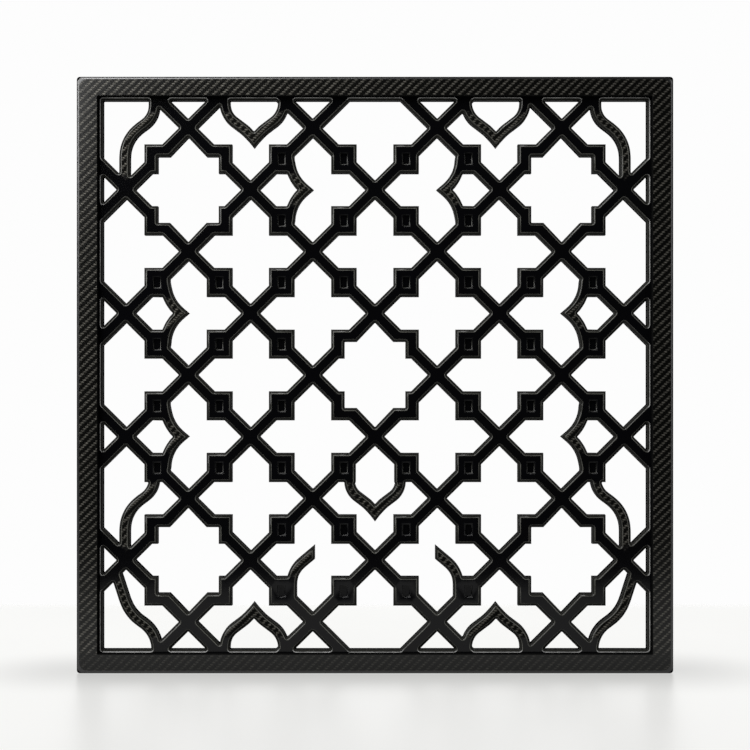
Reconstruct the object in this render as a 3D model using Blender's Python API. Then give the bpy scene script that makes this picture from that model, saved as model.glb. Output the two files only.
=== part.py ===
"""Mashrabiya screen: a square frame around a pierced lattice plate.

Metres, +Z up. The screen stands on its underside with its front facing -Y.
The origin is the bottom centre of the whole object.
"""

import math

import bmesh
import bpy
from mathutils import Vector
from mathutils.geometry import delaunay_2d_cdt

# Outer frame
PANEL_WIDTH = 0.600
PANEL_HEIGHT = 0.600
FRAME_DEPTH = 0.040
STILE_FACE = 0.0213
RAIL_FACE = 0.0197
CORNER_RADIUS = 0.003
FRONT_ARRIS = 0.0022
BACK_ARRIS = 0.001
SIGHT_ARRIS = 0.0006
FLANGE_THICKNESS = 0.008
REBATE_WIDTH = 0.008
FIT_GAP = 0.0003

# Lattice plate, whose grid of nodes keeps a margin to the lip
PLATE_THICKNESS = 0.012
PLATE_ARRIS = 0.0022
LIP_AT_SIDES = 0.0039
LIP_AT_ENDS = 0.0031
COLUMNS = 8
ROWS = 8
MARGIN_AT_SIDES = 0.0232
MARGIN_AT_ENDS = 0.0276
STRAP_WIDTH = 0.0135

# Bosses and the blind pockets in them
BOSS_WIDTH = 0.0258
BOSS_HEIGHT = 0.0294
NOTCHED_BAND = 0.0136
POCKET_WIDTH = 0.0078
POCKET_HEIGHT = 0.0117
POCKET_DEPTH = 0.003
POCKET_ARRIS = 0.0005

# Ogee bands
BAND_WIDTH = 0.0109

# Pendant arches that hang from the top lip and stand on the bottom lip
PENDANT_SHIFT = 0.0036
PENDANT_HALF_SPAN = 0.0296
PENDANT_RISE = 0.0390
PENDANT_SHOULDER_RADIUS = 0.0242
PENDANT_SHOULDER_TURN = math.radians(58)
PENDANT_TIP_ANGLE = math.radians(38)

# The arch under the middle star
CUSP_HALF_SPAN = 0.0257
CUSP_RISE = 0.0308
CUSP_SHOULDER_RADIUS = 0.0192
CUSP_SHOULDER_TURN = math.radians(58)
CUSP_TIP_ANGLE = math.radians(37)

# Keels that bulge from the side of two bosses towards the middle of the screen
KEEL_PROUD = 0.0006
KEEL_RADIUS = 0.0395
KEEL_TURN = math.radians(50)
KEEL_RISE = 0.0158

# Scrolls near the two sides
SCROLL_START_OFFSET = 0.0283
SCROLL_SHIFT = 0.0297
SCROLL_UPPER_RADIUS = 0.0219
SCROLL_LOWER_RADIUS = 0.0360
SCROLL_TURN = math.radians(54)
SCROLL_LIP_RUN = 0.0055
SCROLL_BOSS_RUN = -0.003

# Foot scrolls in the two bottom corners
FOOT_START_OFFSET = 0.0311
FOOT_LOWER_RADIUS = 0.0320
FOOT_LOWER_TURN = math.radians(58)
FOOT_UPPER_RADIUS = 0.0410
FOOT_UPPER_TURN = math.radians(40)
FOOT_TOP_RUN = 0.030

# Half-ogee horns, each cut off upright
HORN_START_OFFSET = 0.0100
HORN_ROOT_DROP = 0.008
HORN_START_LIFT = 0.0066
HORN_RADIUS = 0.0283
HORN_TURN = math.radians(50)
HORN_CUT_OFFSET = 0.0021

# How finely outlines are drawn, and what counts as one point or one straight line
ARC_STEP = math.radians(11)
STRAIGHT_LIMIT = math.radians(1)
CLOSE_POINTS = 0.0008
SAME_PLACE = 0.000001
SMOOTH_LIMIT = math.radians(30)
CUT_OVERSHOOT = 0.001

# What follows from these sizes
SIGHT_WIDTH = PANEL_WIDTH - 2 * STILE_FACE
SIGHT_HEIGHT = PANEL_HEIGHT - 2 * RAIL_FACE
MIDDLE_Z = PANEL_HEIGHT / 2
LIP_HALF_WIDTH = SIGHT_WIDTH / 2 - LIP_AT_SIDES
LIP_HALF_HEIGHT = SIGHT_HEIGHT / 2 - LIP_AT_ENDS
COLUMN_PITCH = 2 * (LIP_HALF_WIDTH - MARGIN_AT_SIDES) / COLUMNS
ROW_PITCH = 2 * (LIP_HALF_HEIGHT - MARGIN_AT_ENDS) / ROWS
HALF_COLUMNS = COLUMNS // 2
HALF_ROWS = ROWS // 2
FRONT_Y = -FRAME_DEPTH / 2
PLATE_FRONT_Y = FRONT_Y + FLANGE_THICKNESS + FIT_GAP
PLATE_BACK_Y = PLATE_FRONT_Y + PLATE_THICKNESS


def grid_point(column, row):
    """Place of a grid node, with columns and rows counted from the middle of the screen."""
    return Vector((column * COLUMN_PITCH, MIDDLE_Z + row * ROW_PITCH))


def direction(heading):
    """Unit vector along a heading, measured anticlockwise from +X."""
    return Vector((math.cos(heading), math.sin(heading)))


def rectangle(centre, width, height):
    """Corners of an upright rectangle, anticlockwise."""
    right = Vector((width / 2, 0))
    up = Vector((0, height / 2))
    return [centre - right - up, centre + right - up, centre + right + up, centre - right + up]


def mirrored(points):
    """The same outline on the other side of x = 0."""
    return [Vector((-point.x, point.y)) for point in reversed(points)]


def turned(points, angle, centre):
    """An outline turned about its own origin and moved to its place."""
    along = direction(angle)
    return [centre + Vector((p.x * along.x - p.y * along.y, p.x * along.y + p.y * along.x)) for p in points]


def kept_left(points, limit):
    """What an outline has to the left of the upright line x = limit."""
    kept = []
    for point, following in zip(points, points[1:] + points[:1]):
        if point.x <= limit:
            kept.append(point)
        if (point.x < limit) != (following.x < limit):
            share = (limit - point.x) / (following.x - point.x)
            kept.append(point.lerp(following, share))
    return kept


def walk(start, heading, moves):
    """Places and headings along straight runs and arcs that follow one another.

    A move is (length, 0) for a straight run and (radius, turn) for an arc, left turns positive.
    """
    stops = [(start, heading)]
    for size, turn in moves:
        point, heading = stops[-1]
        if turn == 0:
            stops.append((point + size * direction(heading), heading))
            continue
        inwards = math.copysign(math.pi / 2, turn)
        centre = point + size * direction(heading + inwards)
        steps = math.ceil(abs(turn) / ARC_STEP)
        for step in range(1, steps + 1):
            angle = heading + turn * step / steps
            stops.append((centre - size * direction(angle + inwards), angle))
    return stops


def band_outline(stops):
    """Outline of a band of even width along a walk."""
    edges = {}
    for side in (-1, 1):
        offsets = [side * BAND_WIDTH / 2 * direction(heading + math.pi / 2) for _, heading in stops]
        edges[side] = [point + offset for (point, _), offset in zip(stops, offsets)]
    return edges[-1] + edges[1][::-1]


def arch_halves(half_span, rise, radius, turn, tip_angle):
    """Both halves of an ogee arch that hangs from its root at the origin, tip down.

    Each leg drops straight, bends in round the shoulder and sweeps back to a keel tip on the axis.
    """
    sweep_span = half_span - radius * (1 - math.cos(turn))
    sweep_radius = sweep_span / (math.cos(tip_angle) - math.cos(turn))
    sweep_drop = sweep_radius * (math.sin(turn) - math.sin(tip_angle))
    leg = rise - radius * math.sin(turn) - sweep_drop
    root = Vector((-half_span, BAND_WIDTH))
    moves = [
        (leg + BAND_WIDTH, 0),
        (radius, turn),
        (sweep_radius, tip_angle - turn),
        (BAND_WIDTH, 0),
    ]
    half = kept_left(band_outline(walk(root, -math.pi / 2, moves)), 0)
    return [half, mirrored(half)]


def keel_halves():
    """Both halves of a keel whose legs lie in the bosses, tip down, its root line at the origin."""
    span = KEEL_RADIUS * math.sin(KEEL_TURN)
    tip_run = (KEEL_RISE - KEEL_RADIUS * (1 - math.cos(KEEL_TURN))) / math.sin(KEEL_TURN)
    half_span = span + tip_run * math.cos(KEEL_TURN)
    moves = [(KEEL_RADIUS, -KEEL_TURN), (tip_run + BAND_WIDTH, 0)]
    half = kept_left(band_outline(walk(Vector((-half_span, 0)), 0, moves)), 0)
    return [half, mirrored(half)]


def scroll(start, run, foot_z):
    """A band that drops, swings outwards and drops again to a height, in the crossing below."""
    bend_shift = (SCROLL_UPPER_RADIUS + SCROLL_LOWER_RADIUS) * (1 - math.cos(SCROLL_TURN))
    slope = (SCROLL_SHIFT - bend_shift) / math.sin(SCROLL_TURN)
    moves = [
        (run + BAND_WIDTH, 0),
        (SCROLL_UPPER_RADIUS, -SCROLL_TURN),
        (slope, 0),
        (SCROLL_LOWER_RADIUS, SCROLL_TURN),
    ]
    stops = walk(start + Vector((0, BAND_WIDTH)), -math.pi / 2, moves)
    point, heading = stops[-1]
    stops.append((Vector((point.x, foot_z)), heading))
    return band_outline(stops)


def side_scrolls():
    """The scrolls at the left side: one from the top lip, one from a boss below the middle."""
    x = grid_point(-HALF_COLUMNS, 0).x + SCROLL_START_OFFSET
    lip = Vector((x, MIDDLE_Z + LIP_HALF_HEIGHT))
    boss_foot = Vector((x, grid_point(0, -1.5).y - BOSS_HEIGHT / 2))
    upper_crossing = grid_point(0, HALF_ROWS - 1).y
    lower_crossing = grid_point(0, 1 - HALF_ROWS).y
    return [
        scroll(lip, SCROLL_LIP_RUN, upper_crossing),
        scroll(boss_foot, SCROLL_BOSS_RUN, lower_crossing),
    ]


def foot_scroll():
    """The band in the left bottom corner, from the lip up to the strap beside the crossing."""
    x = grid_point(-HALF_COLUMNS, 0).x + FOOT_START_OFFSET
    start = Vector((x, MIDDLE_Z - LIP_HALF_HEIGHT - BAND_WIDTH))
    moves = [
        (BAND_WIDTH, 0),
        (FOOT_LOWER_RADIUS, FOOT_LOWER_TURN),
        (FOOT_UPPER_RADIUS, -FOOT_UPPER_TURN),
        (FOOT_TOP_RUN, 0),
    ]
    return band_outline(walk(start, math.pi / 2, moves))


def horn():
    """The half ogee on the left, which rises from a boss and is cut off upright."""
    boss = grid_point(-1.5, 0.5 - HALF_ROWS)
    start = boss + Vector((HORN_START_OFFSET, -HORN_ROOT_DROP))
    cut = grid_point(-1, 0).x + HORN_CUT_OFFSET
    moves = [(HORN_ROOT_DROP + HORN_START_LIFT, 0), (HORN_RADIUS, -HORN_TURN), (COLUMN_PITCH, 0)]
    return kept_left(band_outline(walk(start, math.pi / 2, moves)), cut)


def left_bands():
    """Outlines of all the ogee bands left of the middle."""
    pendant = arch_halves(
        PENDANT_HALF_SPAN, PENDANT_RISE, PENDANT_SHOULDER_RADIUS, PENDANT_SHOULDER_TURN, PENDANT_TIP_ANGLE
    )
    pendant_x = grid_point(-2, 0).x + PENDANT_SHIFT
    outlines = [horn(), foot_scroll()] + side_scrolls()
    for half in pendant:
        outlines.append(turned(half, 0, Vector((pendant_x, MIDDLE_Z + LIP_HALF_HEIGHT))))
        outlines.append(turned(half, math.pi, Vector((pendant_x, MIDDLE_Z - LIP_HALF_HEIGHT))))
    keel_root = (BOSS_WIDTH - BAND_WIDTH) / 2 + KEEL_PROUD
    for column, row in ((-1, HALF_ROWS - 1), (1 - HALF_COLUMNS, 1), (1 - HALF_COLUMNS, -1)):
        place = grid_point(column - 0.5, row) + Vector((keel_root, 0))
        outlines += [turned(half, math.pi / 2, place) for half in keel_halves()]
    return outlines


def cusp_arch():
    """Both halves of the arch under the middle star, from the bosses above it."""
    root = Vector((0, grid_point(0, -1.5).y - BOSS_HEIGHT / 2))
    halves = arch_halves(CUSP_HALF_SPAN, CUSP_RISE, CUSP_SHOULDER_RADIUS, CUSP_SHOULDER_TURN, CUSP_TIP_ANGLE)
    return [turned(half, 0, root) for half in halves]


def star_nodes():
    """Grid nodes of the star openings: the middle and one near each corner."""
    column = HALF_COLUMNS - 1
    row = HALF_ROWS - 1
    return [(0, 0), (column, row), (-column, row), (column, -row), (-column, -row)]


def strap_outlines():
    """Long strips along both diagonals, through every crossing."""
    outlines = []
    reach = HALF_COLUMNS + HALF_ROWS + 1
    for rise in (-1, 1):
        along = Vector((COLUMN_PITCH, rise * ROW_PITCH)).normalized()
        across = Vector((-along.y, along.x)) * STRAP_WIDTH / 2
        for column in range(-reach, reach + 1):
            if column % 2 == 0:
                continue
            middle = grid_point(column, 0)
            length = along * (reach * COLUMN_PITCH + reach * ROW_PITCH)
            ends = (middle - length, middle + length)
            outlines.append([ends[0] - across, ends[1] - across, ends[1] + across, ends[0] + across])
    return outlines


def boss_nodes():
    """Middles of all the bosses, in half steps of the grid."""
    columns = [step + 0.5 for step in range(-HALF_COLUMNS - 1, HALF_COLUMNS + 1)]
    rows = [step + 0.5 for step in range(-HALF_ROWS - 1, HALF_ROWS + 1)]
    inside = []
    for column in columns:
        for row in rows:
            point = grid_point(column, row)
            fits_across = abs(point.x) + BOSS_WIDTH / 2 < LIP_HALF_WIDTH
            fits_up = abs(point.y - MIDDLE_Z) + BOSS_HEIGHT / 2 < LIP_HALF_HEIGHT
            if fits_across and fits_up:
                inside.append((column, row))
    return inside


def star_clearing(node):
    """The upright rectangle that takes the inner quarter off all four bosses of a star."""
    width = COLUMN_PITCH + BOSS_WIDTH - 2 * NOTCHED_BAND
    height = ROW_PITCH + BOSS_HEIGHT - 2 * NOTCHED_BAND
    return rectangle(grid_point(*node), width, height)


def tidied(points):
    """An outline less the points that nearly meet the one before, or where it runs straight on."""
    apart = []
    for before, point in zip(points[-1:] + points[:-1], points):
        if (point - before).length > CLOSE_POINTS:
            apart.append(point)
    kept = []
    for before, point, after in zip(apart[-1:] + apart[:-1], apart, apart[1:] + apart[:1]):
        if (point - before).angle(after - point) > STRAIGHT_LIMIT:
            kept.append(point)
    return kept


def pattern_outlines():
    """All the outlines that together say what of the plate stays, by kind."""
    bands = left_bands()
    return {
        "lip": [rectangle(Vector((0, MIDDLE_Z)), 2 * LIP_HALF_WIDTH, 2 * LIP_HALF_HEIGHT)],
        "strap": strap_outlines(),
        "boss": [rectangle(grid_point(*node), BOSS_WIDTH, BOSS_HEIGHT) for node in boss_nodes()],
        "clearing": [star_clearing(node) for node in star_nodes()],
        "band": bands + [mirrored(outline) for outline in bands] + cusp_arch(),
    }


def openings():
    """Outlines of all the holes through the lattice, each anticlockwise.

    The outlines are laid over one another and split where they cross. A piece is open where it lies
    inside the lip, under no band, and under no strap or boss that a star hasn't cleared away.
    """
    points = []
    faces = []
    kinds = []
    for kind, outlines in pattern_outlines().items():
        for outline in outlines:
            faces.append(list(range(len(points), len(points) + len(outline))))
            points += outline
            kinds.append(kind)
    places, _, triangles, _, _, sources = delaunay_2d_cdt(points, [], faces, 0, SAME_PLACE)
    sheet = bmesh.new()
    verts = [sheet.verts.new((place.x, 0, place.y)) for place in places]
    for triangle, source in zip(triangles, sources):
        inside = {kinds[index] for index in source}
        carved = inside & {"strap", "boss"} and "clearing" not in inside
        if "lip" in inside and not carved and "band" not in inside:
            sheet.faces.new([verts[index] for index in triangle])
    unused = [vert for vert in sheet.verts if not vert.link_faces]
    bmesh.ops.delete(sheet, geom=unused, context="VERTS")
    bmesh.ops.dissolve_faces(sheet, faces=sheet.faces, use_verts=False)
    outlines = []
    for face in sheet.faces:
        outlines.append(tidied([Vector((vert.co.x, vert.co.z)) for vert in face.verts]))
    sheet.free()
    return outlines


def widened(points, width):
    """An anticlockwise outline with every side moved outwards by a width.

    A side that is too short for that shrinks to one point, so its two ends share a place.
    """
    moved = []
    for before, point, after in zip(points[-1:] + points[:-1], points, points[1:] + points[:1]):
        incoming = (point - before).normalized()
        outgoing = (after - point).normalized()
        normals = Vector((incoming.y + outgoing.y, -incoming.x - outgoing.x))
        moved.append(point + normals * width / (1 + incoming.dot(outgoing)))
    for index in range(len(points)):
        side = points[index] - points[index - 1]
        if side.dot(moved[index] - moved[index - 1]) < 0:
            moved[index] = (moved[index] + moved[index - 1]) / 2
            moved[index - 1] = moved[index].copy()
    return moved


def add_flared_prism(mesh, points, front_y, back_y, arris):
    """A prism along Y whose mouth widens at 45 degrees over its last step to the front."""
    shapes = [
        (points, back_y),
        (points, front_y + arris),
        (widened(points, arris + CUT_OVERSHOOT), front_y - CUT_OVERSHOOT),
    ]
    rings = [[mesh.verts.new((point.x, y, point.y)) for point in shape] for shape, y in shapes]
    for ring, following in zip(rings, rings[1:]):
        for index in range(len(ring)):
            mesh.faces.new([ring[index - 1], ring[index], following[index], following[index - 1]])
    mesh.faces.new(rings[0])
    mesh.faces.new(rings[-1])
    bmesh.ops.remove_doubles(mesh, verts=rings[-1], dist=SAME_PLACE)


def add_box(mesh, outline, front_y, back_y):
    """A block along Y with the given front outline."""
    front = [mesh.verts.new((point.x, front_y, point.y)) for point in outline]
    face = mesh.faces.new(front)
    block = bmesh.ops.extrude_face_region(mesh, geom=[face])["geom"]
    moved = [item for item in block if isinstance(item, bmesh.types.BMVert)]
    bmesh.ops.translate(mesh, verts=moved, vec=(0, back_y - front_y, 0))


def new_object(name, mesh, material=None):
    """Turns a bmesh with outward faces into an object in the scene."""
    bmesh.ops.recalc_face_normals(mesh, faces=mesh.faces)
    data = bpy.data.meshes.new(name)
    mesh.to_mesh(data)
    mesh.free()
    data.shade_smooth()
    data.set_sharp_from_angle(angle=SMOOTH_LIMIT)
    thing = bpy.data.objects.new(name, data)
    bpy.context.scene.collection.objects.link(thing)
    if material is None:
        thing.hide_render = True
        thing.display_type = "WIRE"
    else:
        data.materials.append(material)
    return thing


def cut(target, cutter):
    """Takes one closed shape out of another."""
    modifier = target.modifiers.new(cutter.name, "BOOLEAN")
    modifier.operation = "DIFFERENCE"
    modifier.solver = "EXACT"
    modifier.object = cutter


def surface(name, colour, roughness, coat):
    """A dark non-metal under a clear coat."""
    material = bpy.data.materials.new(name)
    material.use_nodes = True
    shader = material.node_tree.nodes["Principled BSDF"]
    shader.inputs["Base Color"].default_value = (*colour, 1)
    shader.inputs["Metallic"].default_value = 0
    shader.inputs["Roughness"].default_value = roughness
    shader.inputs["Coat Weight"].default_value = coat
    return material


def build_frame(material):
    """The square frame: rounded outside, a flange at the front and an open rebate behind it."""
    middle = Vector((0, MIDDLE_Z))
    back_y = FRONT_Y + FRAME_DEPTH
    mesh = bmesh.new()
    add_box(mesh, rectangle(middle, PANEL_WIDTH, PANEL_HEIGHT), FRONT_Y, back_y)
    corners = [edge for edge in mesh.edges if edge.verts[0].co.y != edge.verts[1].co.y]
    bmesh.ops.bevel(
        mesh, geom=corners, offset=CORNER_RADIUS, segments=3, profile=0.5, affect="EDGES", material=-1
    )
    for y, width, segments in ((FRONT_Y, FRONT_ARRIS, 2), (back_y, BACK_ARRIS, 1)):
        rim = [edge for edge in mesh.edges if all(abs(vert.co.y - y) < SAME_PLACE for vert in edge.verts)]
        bmesh.ops.bevel(
            mesh, geom=rim, offset=width, segments=segments, profile=0.5, affect="EDGES", material=-1
        )
    frame = new_object("frame", mesh, material)
    sight = bmesh.new()
    add_flared_prism(
        sight, rectangle(middle, SIGHT_WIDTH, SIGHT_HEIGHT), FRONT_Y, back_y + CUT_OVERSHOOT, SIGHT_ARRIS
    )
    cut(frame, new_object("sight_opening", sight))
    rebate = bmesh.new()
    outline = rectangle(middle, SIGHT_WIDTH + 2 * REBATE_WIDTH, SIGHT_HEIGHT + 2 * REBATE_WIDTH)
    add_box(rebate, outline, FRONT_Y + FLANGE_THICKNESS, back_y + CUT_OVERSHOOT)
    cut(frame, new_object("rebate", rebate))


def has_pocket(node):
    """Whether a boss is whole, and so has a pocket, or belongs to a star."""
    return all(max(abs(node[0] - star[0]), abs(node[1] - star[1])) > 1 for star in star_nodes())


def build_lattice(material):
    """The pierced plate: one blank with every hole cut through it and the pockets sunk in the bosses."""
    width = SIGHT_WIDTH + 2 * (REBATE_WIDTH - FIT_GAP)
    height = SIGHT_HEIGHT + 2 * (REBATE_WIDTH - FIT_GAP)
    blank = bmesh.new()
    add_box(blank, rectangle(Vector((0, MIDDLE_Z)), width, height), PLATE_FRONT_Y, PLATE_BACK_Y)
    lattice = new_object("lattice", blank, material)
    holes = bmesh.new()
    for outline in openings():
        add_flared_prism(holes, outline, PLATE_FRONT_Y, PLATE_BACK_Y + CUT_OVERSHOOT, PLATE_ARRIS)
    cut(lattice, new_object("holes", holes))
    pockets = bmesh.new()
    for node in filter(has_pocket, boss_nodes()):
        outline = rectangle(grid_point(*node), POCKET_WIDTH, POCKET_HEIGHT)
        add_flared_prism(pockets, outline, PLATE_FRONT_Y, PLATE_FRONT_Y + POCKET_DEPTH, POCKET_ARRIS)
    cut(lattice, new_object("pockets", pockets))


for old in list(bpy.data.objects):
    bpy.data.objects.remove(old, do_unlink=True)
build_frame(surface("woven carbon gloss", (0.028, 0.028, 0.026), 0.35, 0.6))
build_lattice(surface("black gloss", (0.012, 0.012, 0.013), 0.25, 0.5))
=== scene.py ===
"""Looks of the mashrabiya screen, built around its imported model.

Metres, +Z up, the front facing -Y. The screen has two pieces: an edge frame of carbon-fibre twill
under clear resin, and a pierced lattice in gloss black lacquer whose curved bands keep the twill.
"""

import logging
import math
from collections.abc import Sequence
from dataclasses import dataclass
from enum import Enum
from functools import partial

import bmesh
import bpy
from mathutils import Matrix, Vector


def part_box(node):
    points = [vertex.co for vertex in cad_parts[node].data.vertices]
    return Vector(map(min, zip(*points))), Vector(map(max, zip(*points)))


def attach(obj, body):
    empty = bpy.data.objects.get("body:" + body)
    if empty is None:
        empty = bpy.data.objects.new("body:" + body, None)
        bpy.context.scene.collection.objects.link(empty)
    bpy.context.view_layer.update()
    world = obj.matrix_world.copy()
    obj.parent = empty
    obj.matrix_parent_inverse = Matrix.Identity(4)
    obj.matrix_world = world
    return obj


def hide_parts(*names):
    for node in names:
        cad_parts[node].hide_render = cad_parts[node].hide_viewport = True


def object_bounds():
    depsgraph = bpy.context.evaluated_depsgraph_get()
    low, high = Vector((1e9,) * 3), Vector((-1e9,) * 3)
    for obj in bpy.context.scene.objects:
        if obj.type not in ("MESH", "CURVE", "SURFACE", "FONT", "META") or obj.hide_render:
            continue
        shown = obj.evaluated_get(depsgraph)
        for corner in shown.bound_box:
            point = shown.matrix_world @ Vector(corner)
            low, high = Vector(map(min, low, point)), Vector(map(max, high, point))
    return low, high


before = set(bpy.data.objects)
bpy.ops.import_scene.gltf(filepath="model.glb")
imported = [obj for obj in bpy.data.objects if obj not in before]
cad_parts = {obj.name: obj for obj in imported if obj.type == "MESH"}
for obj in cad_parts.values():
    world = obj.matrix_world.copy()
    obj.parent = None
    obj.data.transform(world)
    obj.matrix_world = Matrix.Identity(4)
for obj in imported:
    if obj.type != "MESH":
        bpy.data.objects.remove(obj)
CAD_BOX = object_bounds()
# Two places nearer than this are one
SAME_PLACE = 0.00001
# Two directions whose cosine is under this are square to each other
SQUARE_ON = 0.01
# The least of an axis that the normal of a face square to it keeps
FLAT_NORMAL = 0.999
# An edge that turns further than this keeps its crease
CREASE = math.radians(40)
# A chamfer leans by an eighth of a turn, and a rounding beside it reaches as far as the tangent of half that
HALF_CHAMFER = math.radians(22.5)
# Numbers of a colour Mix node's two inputs and its output, which share their names with its other kinds'
MIX_FROM, MIX_TO, MIXED = 6, 7, 2
# Between these lie nearly all the values of a noise texture
NOISE_LOW, NOISE_HIGH = 0.3, 0.7
# Radians that a wave texture of scale 1 turns in a metre
WAVE_RATE = 20

Mesh = bmesh.types.BMesh
Face = bmesh.types.BMFace
Vert = bmesh.types.BMVert
Material = bpy.types.Material
Tree = bpy.types.NodeTree
Node = bpy.types.Node
Socket = bpy.types.NodeSocket
Object = bpy.types.Object

log = logging.getLogger("mashrabiya")


def linear(hex_colour: str) -> tuple[float, float, float, float]:
    """Turns an sRGB hex colour into a linear one.

    Args:
        hex_colour: the colour as "#rrggbb".

    Returns:
        Red, green, blue and an alpha of 1.
    """
    channels = [int(hex_colour[place : place + 2], 16) / 255 for place in (1, 3, 5)]
    lit = [value / 12.92 if value <= 0.04045 else ((value + 0.055) / 1.055) ** 2.4 for value in channels]
    return (*lit, 1.0)


def set_inputs(node: Node, inputs: dict) -> None:
    """Sets some of a node's inputs.

    Args:
        node: the node.
        inputs: what goes into each, by name or number: a value, a socket, or a node for its first output.
    """
    for name, value in inputs.items():
        if isinstance(value, Node):
            value = value.outputs[0]
        if isinstance(value, Socket):
            node.id_data.links.new(value, node.inputs[name])
        else:
            node.inputs[name].default_value = value


def add_node(tree: Tree, kind: str, inputs: dict | None = None, **settings: str) -> Node:
    """Adds one node to a tree.

    Args:
        tree: the tree that gets the node.
        kind: the kind of shader node, such as "Math".
        inputs: what goes into its inputs, as for set_inputs.
        settings: values of the node's own settings, by name.

    Returns:
        The new node.
    """
    node = tree.nodes.new("ShaderNode" + kind)
    for name, value in settings.items():
        setattr(node, name, value)
    set_inputs(node, inputs or {})
    return node


def new_surface(name: str) -> tuple[Material, Tree, Node]:
    """Makes a material with one empty shader.

    Args:
        name: the material's name.

    Returns:
        The material, its node tree and its Principled shader.
    """
    material = bpy.data.materials.new(name)
    material.use_nodes = True
    tree = material.node_tree
    return material, tree, tree.nodes["Principled BSDF"]


def add_ripple(tree: Tree, rate: float, depth: float, strength: float) -> Node:
    """Adds the faint unevenness of a coat to a material.

    Args:
        tree: the material's tree.
        rate: ripples to the metre.
        depth: how deep they are.
        strength: how strongly they show.

    Returns:
        The node that bends the normal.
    """
    place = add_node(tree, "TexCoord").outputs["Object"]
    ripple = add_node(tree, "TexNoise", {"Vector": place, "Scale": rate})
    return add_node(tree, "Bump", {"Strength": strength, "Distance": depth, "Height": ripple.outputs["Fac"]})


def finished_piece(
    name: str, mesh: Mesh, materials: Sequence[Material], flats: Sequence[Face] = ()
) -> Object:
    """Turns a closed bmesh into a piece with crisp arrises and flat-looking flats.

    Args:
        name: the piece's name.
        mesh: the shape, in place, which is freed.
        materials: the materials that its faces' numbers stand for.
        flats: the faces that mirror as one true plane, unbent by the roundings beside them.

    Returns:
        The piece, at the origin, unturned and unscaled.
    """
    for face in mesh.faces:
        face.smooth = True
    for face in flats:
        face.smooth = False
    data = bpy.data.meshes.new(name)
    mesh.to_mesh(data)
    mesh.free()
    data.set_sharp_from_angle(angle=CREASE)
    for material in materials:
        data.materials.append(material)
    piece = bpy.data.objects.new(name, data)
    bpy.context.scene.collection.objects.link(piece)
    weighted = piece.modifiers.new("flats stay flat", "WEIGHTED_NORMAL")
    weighted.keep_sharp = True
    return piece


def round_corners(mesh: Mesh, corners: list[Vert], offset: float, segments: int) -> None:
    """Rounds the corners of rows of edges that lie flat.

    Args:
        mesh: the bmesh.
        corners: the vertices to round.
        offset: how far from each corner its rounding starts.
        segments: how many edges the rounding has.
    """
    bmesh.ops.bevel(
        mesh,
        geom=corners,
        offset=offset,
        offset_type="OFFSET",
        segments=segments,
        profile=0.5,
        affect="VERTICES",
        material=-1,
    )


def quarter_round(radius: float, segments: int) -> list[tuple[float, float]]:
    """Measures points along a quarter round from the two lines that it joins.

    Args:
        radius: its radius.
        segments: how many edges it has.

    Returns:
        Each point's distance from the line that the round ends on, and from the one that it starts on.
    """
    turns = [math.pi / 2 * step / segments for step in range(segments + 1)]
    return [(radius * (1 - math.sin(turn)), radius * (1 - math.cos(turn))) for turn in turns]


class Lie(Enum):
    """The two axes that the cloth's tows cross and climb on a face."""

    FRONT = ("X", "Z")
    SIDE = ("Y", "Z")
    LEVEL = ("X", "Y")


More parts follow.
